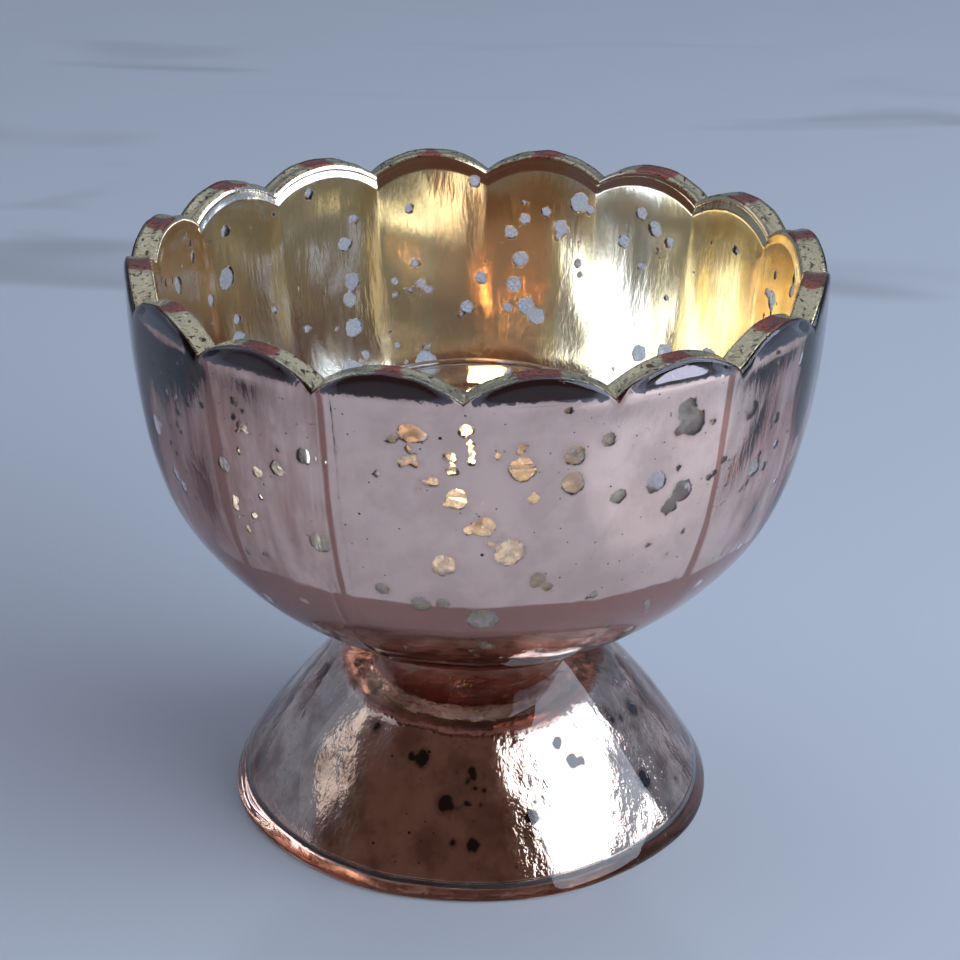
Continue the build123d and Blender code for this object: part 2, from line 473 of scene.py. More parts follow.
def blend_colour(tree, share, first, second):
    node = tree.nodes.new("ShaderNodeMix")
    node.data_type = "RGBA"
    for key, value in ((0, share), (6, first), (7, second)):
        if isinstance(value, bpy.types.NodeSocket):
            tree.links.new(value, node.inputs[key])
        else:
            node.inputs[key].default_value = value
    return node.outputs[2]


def stored(tree, name):
    return put(tree, "ShaderNodeAttribute", output="Fac", attribute_name=name)


def bump(tree, height, strength, distance):
    inputs = {"Height": height, "Strength": strength, "Distance": distance}
    return put(tree, "ShaderNodeBump", inputs, output="Normal")


def surface(material, inputs, volume=None):
    """Finishes a material with one Principled surface."""
    tree = material.node_tree
    shader = put(tree, "ShaderNodeBsdfPrincipled", inputs, output="BSDF")
    out = tree.nodes.new("ShaderNodeOutputMaterial")
    tree.links.new(shader, out.inputs["Surface"])
    if volume is not None:
        tree.links.new(volume, out.inputs["Volume"])
    return material


def rgba(colour):
    return (*colour, 1.0)


# ---- Materials ---------------------------------------------------------------------------------
def rose_glass(colours):
    """Pressed glass with a rose tint that deepens where the light's way through it is long."""
    material, tree, where = new_material("rose glass")
    pits = spread(tree, noise(tree, where, 900.0, 2.0), 0.68, 0.80)
    flow = noise(tree, where, 60.0, 2.0)
    height = calc(tree, "SUBTRACT", calc(tree, "MULTIPLY", flow, 0.25), pits)
    tint = {"Color": rgba(colours.glass_tint), "Density": 9.0}
    absorb = put(tree, "ShaderNodeVolumeAbsorption", tint, output="Volume")
    inputs = {
        "Base Color": rgba((0.995, 0.985, 0.98)),
        "Roughness": spread(tree, noise(tree, where, 140.0), 0.3, 0.8, 0.0, 0.03),
        "Transmission Weight": 1.0,
        "IOR": 1.5,
        "Normal": bump(tree, height, 0.12, 0.0004),
    }
    return surface(material, inputs, volume=absorb)


def bare_mask(tree, where):
    """1 where the film has gone: stored specks with ragged edges, and pinholes."""
    ragged = noise_about_zero(tree, where, 1400.0, 0.7)
    wobble = noise_about_zero(tree, where, 500.0, 0.9, 1.0)
    edge = calc(tree, "ADD", calc(tree, "ADD", stored(tree, "bare"), ragged), wobble)
    mask = spread(tree, edge, -0.12, 0.12)
    distance, tone = cells(tree, where, 420.0)
    picked = put(tree, "ShaderNodeSeparateColor", {"Color": tone}, output="Red")
    rare = calc(tree, "GREATER_THAN", picked, 0.86)
    holes = calc(tree, "MULTIPLY", spread(tree, distance, 0.12, 0.07), rare)
    return calc(tree, "MAXIMUM", mask, holes)


def silver_film(name, colour, tarnish, streaked):
    """A thin rose mirror, gone in specks, with darker copper where its stored value asks for it (painted
    shade on the bowl, a streaky copper tone on the foot) and a plain dark band under the lip.
    """
    material, tree, where = new_material(name)
    gone = bare_mask(tree, where)
    halo = spread(tree, stored(tree, "bare"), -1.0, 0.2, 0.0, tarnish)
    cloud = spread(tree, noise(tree, where, 150.0, 5.0, 0.6), 0.40, 0.66, 0.0, tarnish)
    dull = calc(tree, "MAXIMUM", halo, cloud)
    rose = blend_colour(tree, dull, rgba(colour), rgba((0.42, 0.30, 0.24)))
    # Painted shade on the bowl and a copper tone on the foot: the film turns darker copper-brown where the
    # stored value is high.
    uneven = noise_about_zero(tree, drawn_out(tree, where, 0.2), 380.0, 0.6)
    shade_and_tone = spread(tree, calc(tree, "ADD", stored(tree, "painted_shade_and_tone"), uneven), 0.25, 0.75)
    rose = blend_colour(tree, calc(tree, "MULTIPLY", shade_and_tone, 0.85), rose, rgba((0.38, 0.13, 0.09)))
    to_pit, _ = cells(tree, where, 620.0)
    rose = blend_colour(tree, spread(tree, to_pit, 0.10, 0.05), rose, rgba((0.16, 0.09, 0.07)))
    torn = noise_about_zero(tree, where, 1100.0, 1.6, 4.0)
    plain = spread(tree, calc(tree, "ADD", stored(tree, "lip"), torn), -0.08, 0.08)
    inputs = {
        "Base Color": blend_colour(tree, plain, rose, rgba((0.17, 0.15, 0.17))),
        "Metallic": 1.0,
        "Roughness": spread(tree, noise(tree, where, 260.0), 0.3, 0.8, 0.02, 0.09),
        "Alpha": without(tree, gone),
        "Normal": bump(tree, upright_grain(tree, where), streaked, 0.0006),
    }
    return surface(material, inputs)


def upright_grain(tree, where):
    """Unevenness that runs from rim to foot."""
    drawn = drawn_out(tree, where, 0.22)
    return calc(tree, "ADD", noise(tree, drawn, 420.0, 4.0, 0.6), noise(tree, drawn, 90.0, 2.0))


def gold_lacquer(colours):
    """Mottled pale gold lacquer that backs the silver, painted silvery and coppery round the bowl as painted
    reflection; a frosted trace of it stays in the bare specks, painted amber near the flame as painted flame
    light.
    """
    material, tree, where = new_material("gold lacquer")
    gone = bare_mask(tree, where)
    trace = spread(tree, noise(tree, where, 800.0, 3.0), 0.35, 0.65, 0.15, 0.75)
    # Painted reflection: the lacquer turns pale or coppery by azimuth, with a random mottle on top.
    painted_reflection_tone = calc(tree, "ADD", stored(tree, "painted_reflection_tone"), noise_about_zero(tree, where, 70.0, 0.9))
    gold = blend_colour(tree, spread(tree, painted_reflection_tone, -0.9, -0.1), rgba(colours.gold_pale), rgba(colours.gold))
    gold = blend_colour(tree, spread(tree, painted_reflection_tone, 0.2, 0.9), gold, rgba(colours.copper))
    # Painted flame light: bare specks near the front are painted amber.
    glow = blend_colour(tree, stored(tree, "painted_flame_light"), rgba((0.95, 0.90, 0.84)), rgba((1.0, 0.66, 0.42)))
    kept = without(tree, gone)
    inputs = {
        "Base Color": blend_colour(tree, gone, gold, glow),
        "Metallic": kept,
        "Roughness": calc(tree, "MULTIPLY_ADD", gone, 0.36, 0.12),
        "Normal": bump(tree, upright_grain(tree, where), 0.10, 0.0006),
        "Transmission Weight": gone,
        "IOR": 1.45,
        "Alpha": calc(tree, "MAXIMUM", kept, trace),
    }
    return surface(material, inputs)


def lacquer_underside():
    """The dark side of the lacquer, seen through the glass at the rim."""
    material, tree, where = new_material("lacquer underside")
    gone = bare_mask(tree, where)
    cloud = noise(tree, where, 400.0)
    inputs = {
        "Base Color": blend_colour(tree, cloud, rgba((0.05, 0.035, 0.03)), rgba((0.13, 0.08, 0.06))),
        "Roughness": 0.35,
        "Alpha": without(tree, gone),
    }
    return surface(material, inputs)


def rim_lacquer(colours):
    """Olive-gold lacquer over the rim, with brown specks and rubbed red-brown tops."""
    material, tree, where = new_material("rim lacquer")
    specks = spread(tree, noise(tree, where, 1500.0, 3.0), 0.56, 0.66)
    crest = calc(tree, "ADD", stored(tree, "crest"), noise_about_zero(tree, where, 90.0, 1.1))
    worn = spread(tree, crest, 0.72, 0.80)
    base = blend_colour(tree, worn, rgba(colours.rim_olive), rgba(colours.rim_brown))
    height = noise(tree, where, 1800.0, 3.0)
    inputs = {
        "Base Color": blend_colour(tree, specks, base, rgba((0.10, 0.06, 0.04))),
        "Metallic": 0.85,
        "Roughness": spread(tree, noise(tree, where, 700.0), 0.3, 0.7, 0.12, 0.34),
        "Normal": bump(tree, height, 0.5, 0.0003),
    }
    return surface(material, inputs)


def clear_cup():
    """Clear moulded plastic, a little hazy with wax."""
    material, tree, where = new_material("clear plastic")
    haze = noise(tree, where, 240.0, 4.0)
    inputs = {
        "Base Color": rgba((0.93, 0.94, 0.94)),
        "Transmission Weight": 1.0,
        "IOR": 1.55,
        "Roughness": spread(tree, haze, 0.45, 0.8, 0.02, 0.25),
        "Normal": bump(tree, haze, 0.1, 0.0003),
    }
    return surface(material, inputs)


def wax(colours):
    """Paraffin, matt where it is solid and glossy where it has melted."""
    material, tree, where = new_material("paraffin wax")
    cloud = noise(tree, where, 180.0, 3.0)
    melted = spread(tree, stored(tree, "melted"), 0.2, 0.9)
    inputs = {
        "Base Color": blend_colour(tree, cloud, rgba(colours.wax), rgba((0.97, 0.95, 0.90))),
        "Roughness": calc(tree, "MULTIPLY_ADD", melted, -0.33, 0.38),
        "Subsurface Weight": 0.6,
        "Subsurface Radius": (0.006, 0.004, 0.0025),
        "Subsurface Scale": 1.0,
        "Coat Weight": melted,
        "Coat Roughness": 0.03,
        "Normal": bump(tree, cloud, 0.2, 0.0003),
    }
    return surface(material, inputs)


def plated_steel():
    """Thin tin-plated sheet."""
    material, tree, where = new_material("tin-plated steel")
    grain = noise(tree, where, 900.0, 3.0)
    inputs = {
        "Base Color": blend_colour(tree, grain, rgba((0.50, 0.49, 0.48)), rgba((0.68, 0.67, 0.66))),
        "Metallic": 1.0,
        "Roughness": spread(tree, grain, 0.3, 0.7, 0.25, 0.45),
    }
    return surface(material, inputs)


def wick_cotton():
    """Waxed cotton that turns to char, with an ember at its tip."""
    material, tree, where = new_material("wick cotton")
    charred = spread(tree, stored(tree, "burnt"), 0.25, 0.5)
    ember = spread(tree, stored(tree, "burnt"), 0.86, 1.0)
    fibre = noise(tree, where, 2500.0, 2.0)
    cotton = blend_colour(tree, fibre, rgba((0.72, 0.66, 0.55)), rgba((0.86, 0.82, 0.72)))
    inputs = {
        "Base Color": blend_colour(tree, charred, cotton, rgba((0.015, 0.012, 0.01))),
        "Roughness": 0.85,
        "Emission Color": rgba((1.0, 0.18, 0.03)),
        "Emission Strength": calc(tree, "MULTIPLY", ember, 4.0),
        "Normal": bump(tree, fibre, 0.6, 0.0002),
    }
    return surface(material, inputs)


def flame_glow(colours, lights):
    """A candle flame: dim at its foot, bright above."""
    material, tree, _ = new_material("flame glow")
    rise = stored(tree, "rise")
    body = spread(tree, rise, 0.0, 0.14)
    warm = blend_colour(tree, spread(tree, rise, 0.3, 0.9), rgba((1.0, 0.62, 0.28)), rgba(colours.flame))
    inputs = {
        "Base Color": rgba((0.0, 0.0, 0.0)),
        "Roughness": 1.0,
        "Emission Color": blend_colour(tree, body, rgba((1.0, 0.55, 0.25)), warm),
        "Emission Strength": calc(tree, "MULTIPLY_ADD", body, lights.flame_strength, 2.0),
    }
    return surface(material, inputs)


def table_top(colours):
    """Pale stone with faint, wide veins."""
    material, tree, where = new_material("pale table")
    along = {"Vector": where, "Rotation": (0, 0, -0.5), "Scale": (5.0, 16.0, 1.0)}
    turned = put(tree, "ShaderNodeMapping", along)
    veins = spread(tree, noise(tree, turned, 1.0, 2.0, 0.5, 1.0), 0.58, 0.72, 0.0, 0.6)
    inputs = {
        "Base Color": blend_colour(tree, veins, rgba(colours.table), rgba((0.42, 0.43, 0.47))),
        "Roughness": spread(tree, noise(tree, where, 30.0), 0.3, 0.7, 0.10, 0.18),
    }
    return surface(material, inputs)


# ---- Settings ----------------------------------------------------------------------------------
def colour_setting(name, description, default):
    return bpy.props.FloatVectorProperty(
        name=name, description=description, default=default, subtype="COLOR", min=0.0, max=1.0
    )


class HolderColours(bpy.types.PropertyGroup):
    glass_tint: colour_setting("Glass tint", "Colour that the glass lets through", (0.93, 0.50, 0.30))
    silver: colour_setting("Silver", "Mirror film on the bowl", (0.99, 0.74, 0.64))
    foot_silver: colour_setting("Foot silver", "Mirror film in the foot", (0.92, 0.74, 0.62))
    gold: colour_setting("Gold", "Lacquer inside the bowl", (0.88, 0.76, 0.52))
    gold_pale: colour_setting("Pale gold", "Silvery patches of the lacquer", (0.93, 0.90, 0.82))
    copper: colour_setting("Copper", "Coppery patches of the lacquer", (0.86, 0.62, 0.42))
    rim_olive: colour_setting("Rim olive", "Lacquer on the rim", (0.60, 0.53, 0.34))
    rim_brown: colour_setting("Rim brown", "Rubbed tops of the scallops", (0.42, 0.13, 0.09))
    wax: colour_setting("Wax", "Paraffin wax", (0.93, 0.89, 0.80))
    flame: colour_setting("Flame", "Colour of the flame's body", (1.0, 0.44, 0.13))
    table: colour_setting("Table", "Table under the holder", (0.69, 0.75, 0.82))


class HolderLights(bpy.types.PropertyGroup):
    flame_strength: bpy.props.FloatProperty(
        name="Flame strength", description="Brightness of the flame", default=70.0, min=0.0
    )
    window_power: bpy.props.FloatProperty(
        name="Right window", description="Power of the larger light", default=9.0, min=0.0, subtype="POWER"
    )
    side_power: bpy.props.FloatProperty(
        name="Left window", description="Power of the smaller light", default=0.45, min=0.0, subtype="POWER"
    )
    lens: bpy.props.FloatProperty(
        name="Lens", description="Camera's focal length", default=87.0, min=1.0, subtype="DISTANCE_CAMERA"
    )


def colours():
    return bpy.context.scene.holder_colours


def lights():
    return bpy.context.scene.holder_lights


# ---- Pieces ------------------------------------------------------------------------------------
COLUMNS_PER_PANEL = 24
FOOT_COLUMNS_PER_PANEL = 40
FILM_ROWS = 66


def bowl_columns():
    return panel_columns(PANELS, COLUMNS_PER_PANEL, BOWL_CREASE)


def foot_columns():
    return panel_columns(FOOT_PANELS, FOOT_COLUMNS_PER_PANEL, FOOT_CREASE)


def lip_edge(theta):
    """Radius and height where the outer wall starts to round over into the lip."""
    first = rim_height(theta, bowl_radius(theta, RIM_TOP)) - LIP_FALL
    outside = bowl_radius(theta, first) + outer_ripple(theta, RIM_TOP)
    return outside, rim_height(theta, outside) - LIP_FALL


def lip_rows(theta, proud=0.0, from_ridge=False):
    """Rows from the outside of the lip, or from its ridge, over the rim's top to the inside edge."""
    outside, lip_z = lip_edge(theta)
    ridge = outside - LIP_ROUND
    inside = bowl_inner_radius(theta, RIM_TOP)
    ridge_z = rim_height(theta, ridge) + rim_ripple(theta, 0.0)
    edge_z = rim_height(theta, inside) + rim_ripple(theta, 4.0) * 0.5
    rows = []
    if not from_ridge:
        for turn in np.linspace(0, 0.5 * math.pi, 7)[:-1]:
            radius = outside - LIP_ROUND * (1 - math.cos(turn))
            rows.append(ring_row(theta, radius, lip_z + (ridge_z - lip_z) * math.sin(turn)))
    for share in np.linspace(0, 1, 6):
        radius = ridge + (inside + INNER_ROUND - ridge) * share
        z = ridge_z + (edge_z - ridge_z) * share - 0.18 * math.sin(math.pi * share)
        rows.append(ring_row(theta, radius, z + proud))
    for turn in np.linspace(0, 0.5 * math.pi, 7)[1:]:
        radius = inside + INNER_ROUND * (1 - math.sin(turn)) - proud * math.sin(turn)
        z = edge_z - INNER_FALL * (1 - math.cos(turn)) + proud * math.cos(turn)
        rows.append(ring_row(theta, radius, z))
    return rows


def outer_wall_rows(theta, count=92):
    """Rows up the bowl's outside from its base ring to the lip."""
    start = JOIN_HEIGHT + 1.0
    _, top = lip_edge(theta)
    rows = []
    for share in np.linspace(0, 1, count)[:-1]:
        z = start + (top - start) * share
        rows.append(ring_row(theta, bowl_radius(theta, z) + outer_ripple(theta, z), z))
    return rows


def make_glass_bowl():
    """The bowl's glass: base ring, outside, lip, inside and floor in one skin."""
    theta = bowl_columns()
    low = JOIN_HEIGHT
    ring = BASE_RING_RADIUS
    rows = [ring_row(theta, radius, low) for radius in (4.0, 10.0, 16.0, ring - 0.6)]
    rows += [ring_row(theta, ring - 0.18, low + 0.18), ring_row(theta, ring, low + 0.6)]
    rows += [ring_row(theta, ring + 0.25, low + 0.85)]
    rows += outer_wall_rows(theta)
    rows += lip_rows(theta)
    rows += inner_wall_rows(theta, 0.0, INNER_FALL)[1:]
    piece = mesh_from_rows("bowl_glass", rows)
    piece.data.materials.append(rose_glass(colours()))
    return piece


def shell_from_rows(name, outward, inward):
    """A closed film between two sets of rows."""
    return mesh_from_rows(name, outward + inward[::-1])


def make_bowl_silvering():
    """Silver film, bedded just inside the glass so that it shows as a mirror through it."""
    theta = bowl_columns()
    outward = inner_wall_rows(theta, 0.0, FILM_TOP_DROP, FILM_ROWS, silver_radius)
    inward = inner_wall_rows(theta, FILM_THICK * 0.5, FILM_TOP_DROP, FILM_ROWS, silver_radius)
    piece = shell_from_rows("bowl_silvering_film", outward[::-1], inward[::-1])
    points = vertex_array(piece)
    bare = bare_distance(points, bowl_specks())
    rim = rim_height(*polar(points))
    band_low = LIP_BAND_HEIGHT + LIP_BAND_FOLLOW * (rim - LIP_BAND_RIM)
    set_attribute(piece, "bare", np.where(points[:, 2] > rim - 1.6, -WELL_COVERED, bare))
    set_attribute(piece, "lip", points[:, 2] - band_low)
    # painted shade in the creases, on the side panels and low on the bowl
    set_attribute(piece, "painted_shade_and_tone", painted_film_shade(points))
    piece.data.materials.append(silver_film("bowl silver", colours().silver, tarnish=0.25, streaked=0.05))
    return piece


# Painted reflection: where the lacquer is painted silvery (-1), gold (0) or coppery (1), from -Y towards +X,
# after the pale and coppery reflections on the inside walls.
REFLECTION_TONE_ANGLES = (-180, -170, -166, -156, -152, -95, -60, 0, 60, 110, 140, 145, 163, 168, 180)
REFLECTION_TONE = (0.9, 0.9, 0.0, 0.0, -0.8, -0.9, -0.2, 0.3, 0.0, 0.0, -0.1, -0.8, -0.8, 0.8, 0.9)
# Painted flame light: how amber the bare specks are painted, by azimuth each side of -Y, as if lit by the
# flame.
PAINTED_GLOW_ANGLES = (25, 45, 90)
PAINTED_GLOW = (1.0, 0.5, 0.0)
RIM_ROWS = 8  # rows of the lacquer's face that lie over the rim


def make_bowl_lacquer():
    """Gold lacquer over the silver and over the rim."""
    theta = bowl_columns()
    face, under = (
        lip_rows(theta, proud, from_ridge=True) + inner_wall_rows(theta, offset, INNER_FALL, FILM_ROWS)[1:]
        for proud, offset in ((LACQUER_PROUD, LACQUER_FACE), (-LACQUER_PROUD, LACQUER_UNDER))
    )
    piece = shell_from_rows("bowl_lacquer_film", under[::-1], face[::-1])
    points = vertex_array(piece)
    bare = bare_distance(points, bowl_specks())
    theta_at, radius_at = polar(points)
    on_rim = points[:, 2] > rim_height(theta_at, radius_at) - 0.6
    set_attribute(piece, "bare", np.where(on_rim, -WELL_COVERED, bare))
    crest = 1 - np.abs(from_panel_centre(theta_at, PANELS, BOWL_CREASE)) / (math.pi / PANELS)
    set_attribute(piece, "crest", crest)
    around = azimuth(points)
    set_attribute(piece, "painted_reflection_tone", np.interp(around, REFLECTION_TONE_ANGLES, REFLECTION_TONE))
    set_attribute(piece, "painted_flame_light", np.interp(np.abs(around), PAINTED_GLOW_ANGLES, PAINTED_GLOW))
    for material in (gold_lacquer(colours()), lacquer_underside(), rim_lacquer(colours())):
        piece.data.materials.append(material)
    slots = np.zeros(len(piece.data.polygons), dtype=np.int32)
    quads = (2 * len(face) - 1) * len(theta)
    row_of = np.arange(quads) // len(theta)
    slots[:quads] = np.where(row_of < len(face), 1, 0)
    rim_band = (row_of >= len(face) - 1) & (row_of < len(face) + RIM_ROWS)
    slots[:quads][rim_band] = 2
    piece.data.polygons.foreach_set("material_index", slots)
    return piece


def make_glass_foot():
    """The foot's glass, hollow from below, with a clear band round its edge."""
    theta = foot_columns()
    top = JOIN_HEIGHT - 0.02
    edge, inner_edge = 0.9, 0.8  # heights at which the outside and the hollow start to round under
    rows = [ring_row(theta, radius, top) for radius in (2.0, 8.0, 12.0)]
    for share in np.linspace(0, 1, 60)[::-1]:
        z = edge + (top - edge) * share
        rows.append(ring_row(theta, foot_radius(theta, z) + outer_ripple(theta, z), z))
    wide, narrow = foot_radius(theta, 0.0), foot_inner_radius(theta, 0.0)
    start = foot_radius(theta, edge) + outer_ripple(theta, edge)
    rows += arc_rows(theta, start, edge, wide - 1.0, 0.0, wide, 0.0, 6)[1:]
    end = foot_inner_radius(theta, inner_edge)
    rows += arc_rows(theta, narrow + 0.8, 0.0, end, inner_edge, narrow, 0.0, 5)
    rows += hollow_rows(theta, 0.0, inner_edge)[1:]
    piece = mesh_from_rows("foot_glass", rows[::-1])
    piece.data.materials.append(rose_glass(colours()))
    return piece


def hollow_rows(theta, offset, low, count=48):
    """Rows up the foot's hollow and over its rounded top."""
    shoulder = HOLLOW_TOP - 3.5
    rows = []
    for share in np.linspace(0, 1, count):
        z = low + (shoulder - low) * share
        rows.append(ring_row(theta, foot_inner_radius(theta, z) - offset, z))
    start = foot_inner_radius(theta, shoulder) - offset
    corner = foot_inner_radius(theta, HOLLOW_TOP) - offset
    top = HOLLOW_TOP - offset
    rows += arc_rows(theta, start, shoulder, 6.0, top, corner, top, 9)[1:]
    rows.append(ring_row(theta, 2.0, top))
    return rows


def make_foot_silvering():
    """Silver film over the foot's hollow."""
    theta = foot_columns()
    outward = hollow_rows(theta, -FILM_EMBED, FOOT_FILM_LOW)
    inward = hollow_rows(theta, -FILM_EMBED + FILM_THICK, FOOT_FILM_LOW)
    piece = shell_from_rows("foot_silvering_film", outward, inward)
    points = vertex_array(piece)
    set_attribute(piece, "bare", bare_distance(points, foot_specks()))
    set_attribute(piece, "lip", np.full(len(points), -WELL_COVERED))
    set_attribute(piece, "painted_shade_and_tone", np.full(len(points), FOOT_POOL))
    piece.data.materials.append(silver_film("foot silver", colours().foot_silver, tarnish=0.85, streaked=0.2))
    return piece


def even_columns(count):
    """Evenly spaced angles round a round piece."""
    return np.linspace(0, TURN, count, endpoint=False)


def make_tealight_cup():
    """Tall clear cup with a moulded step and a rounded bead at its rim."""
    theta = even_columns(192)
    low, high = CUP_LOW, CUP_HIGH
    bead = 0.5
    top_radius = CUP_RADIUS - bead
    base_radius = top_radius - 0.4
    thick = 0.6
    step_low = high - 4.0

    def wall(z):
        share = (z - low) / (high - low)
        step = 0.35 / (1 + math.exp(-(z - step_low) / 0.12))
        return base_radius - 0.35 + (top_radius - base_radius) * share + step

    rows = [ring_row(theta, radius, low) for radius in (4.0, 10.0, 16.0)]
    rows += arc_rows(theta, base_radius - 1.6, low, wall(low + 1.2), low + 1.2, wall(low), low, 7)
    below_step = np.linspace(low + 1.5, step_low - 0.5, 12)
    heights = np.concatenate([below_step, np.linspace(step_low - 0.35, high - 0.9, 20)])
    rows += [ring_row(theta, wall(z), z) for z in heights]
    centre_z = high - bead
    for turn in np.linspace(-0.4 * math.pi, 0.8 * math.pi, 12):
        rows.append(ring_row(theta, top_radius + bead * math.cos(turn), centre_z + bead * math.sin(turn)))
    rows += [ring_row(theta, wall(z) - thick, z) for z in heights[::-1]]
    turn_z, floor = low + 1.8, low + thick
    start, end, corner = wall(turn_z) - thick, base_radius - 2.4, wall(low) - thick
    rows += arc_rows(theta, start, turn_z, end, floor, corner, floor, 7)[1:]
    rows += [ring_row(theta, radius, floor) for radius in (15.0, 10.0, 4.0)]
    piece = mesh_from_rows("tealight_clear_cup", rows)
    piece.data.materials.append(clear_cup())
    return piece


def pool_wave(angle):
    """Unevenness of the melt pool's edge."""
    return 0.35 * np.sin(3 * angle + 0.6) + 0.22 * np.sin(5 * angle + 2.1)


def make_wax():
    """Wax with a melt pool; the meniscus climbs a little at the cup and the wick."""
    theta = even_columns(160)
    low, high = WAX_LOW, WAX_HIGH
    edge = WAX_RADIUS
    pool = 14.5
    rows = [ring_row(theta, radius, low) for radius in (6.0, 12.0, edge - 0.9)]
    rows += arc_rows(theta, edge - 0.9, low, edge - 0.1, low + 0.8, edge - 0.1, low, 5)[1:]
    rows += [ring_row(theta, edge - 0.1, z) for z in np.linspace(low + 1.0, high - 0.5, 8)]
    uneven = pool_wave(theta) + 0.1 * np.sin(9 * theta)
    for radius in np.linspace(edge - 0.25, 1.0, 46):
        bank = np.clip((radius - pool - uneven) / 1.3, -1, 1)
        rise = 0.5 + 0.5 * np.sin(0.5 * math.pi * bank)
        z = high - 1.1 + 1.0 * rise + 0.35 * math.exp(-(radius - 1.0) / 0.5)
        z = z - 0.2 * np.exp(-((radius - edge) / 0.5) ** 2)
        rows.append(ring_row(theta, radius, z))
    piece = mesh_from_rows("tealight_wax_body", rows)
    points = vertex_array(piece)
    angle, reach = polar(points)
    upper = points[:, 2] > high - 1.6
    set_attribute(piece, "melted", np.where(upper, np.clip((pool + pool_wave(angle) - reach) / 1.5, 0, 1), 0))
    piece.data.materials.append(wax(colours()))
    return piece


def make_sustainer():
    """Pressed disc with the collar that grips the wick."""
    theta = even_columns(64)
    low, high = DISC_LOW, DISC_HIGH
    disc, collar, bore = DISC_RADIUS, 1.3, 0.72
    rows = [ring_row(theta, radius, z) for radius, z in (
        (bore, low), (3.0, low), (disc - 0.1, low), (disc, low + 0.1), (disc, low + 0.22),
        (disc - 0.1, low + 0.3), (3.2, low + 0.3), (2.0, low + 0.34), (collar + 0.15, low + 0.5),
        (collar, low + 0.8), (collar, high - 0.3), (collar - 0.12, high - 0.04), (collar - 0.3, high),
        (bore + 0.06, high - 0.05), (bore, high - 0.2), (bore, low + 0.6),
    )]
    piece = mesh_from_rows("wick_sustainer_disc", rows, join_loop=True)
    piece.data.materials.append(plated_steel())
    return piece


def make_wick():
    """Braided cord that bends over at its burnt tip."""
    theta = even_columns(48)
    low, high = WICK_LOW, WICK_HIGH
    rows, burnt = [], []
    for share in np.linspace(0, 1, 70):
        z = low + (high - low - 0.25) * share
        taper = 1 - 0.35 * share**6
        braid = 0.66 + 0.05 * np.sin(4 * theta + 5.2 * z) + 0.05 * np.sin(-4 * theta + 5.2 * z)
        row = ring_row(theta, braid * taper, z)
        row[:, 0] += 0.9 * share**7
        row[:, 1] -= 0.3 * share**7
        rows.append(row)
        burnt.append(np.full(len(theta), max(0.0, (share - 0.45) / 0.55)))
    piece = mesh_from_rows("tealight_wick_cord", rows)
    set_attribute(piece, "burnt", np.concatenate(burnt + [[0.0, 1.0]]))
    piece.data.materials.append(wick_cotton())
    return piece


def make_flame():
    """Teardrop flame that leans away from the wick's tip."""
    theta = even_columns(48)
    foot, height, widest, lean = WICK_HIGH - 1.5, 15.0, 2.6, 2.2
    rows, rise = [], []
    for share in np.linspace(0.02, 0.985, 40):
        radius = widest * math.sin(math.pi * share**0.62) ** 0.85 * (1 - 0.25 * share)
        row = ring_row(theta, max(radius, 0.03), foot + height * share)
        row[:, 0] -= 0.6 + lean * share
        rows.append(row)
        rise.append(np.full(len(theta), share))
    piece = mesh_from_rows("candle_flame", rows)
    set_attribute(piece, "rise", np.concatenate(rise + [[0.0, 1.0]]))
    piece.data.materials.append(flame_glow(colours(), lights()))
    return piece


# ---- Stage -------------------------------------------------------------------------------------
def make_floor():
    """A level table top a hair under the foot, so that the two faces do not fight."""
    size, drop = 3.0, 0.00002
    steps = np.linspace(-size, size, 13)
    points = [(x, y, -drop) for y in steps for x in steps]
    across = len(steps)
    faces = [
        (j * across + i, j * across + i + 1, (j + 1) * across + i + 1, (j + 1) * across + i)
        for j in range(across - 1)
        for i in range(across - 1)
    ]
    mesh = bpy.data.meshes.new("table_top")
    mesh.from_pydata(points, [], faces)
    mesh.materials.append(table_top(colours()))
    floor = bpy.data.objects.new("table_top", mesh)
    bpy.context.scene.collection.objects.link(floor)


def add_window(name, direction, elevation, distance, width, height, power, colour):
    """A soft rectangular light that faces the holder; its direction is in degrees from -Y towards +X."""
    data = bpy.data.lights.new(name, "AREA")
    data.shape = "RECTANGLE"
    data.size, data.size_y = width, height
    data.energy = power
    data.color = colour
    lamp = bpy.data.objects.new(name, data)
    bpy.context.scene.collection.objects.link(lamp)
    a, e = math.radians(direction), math.radians(elevation)
    away = Vector((math.sin(a) * math.cos(e), -math.cos(a) * math.cos(e), math.sin(e)))
    lamp.location = Vector((0, 0, 0.04)) + away * distance
    lamp.rotation_euler = (-away).to_track_quat("-Z", "Y").to_euler()


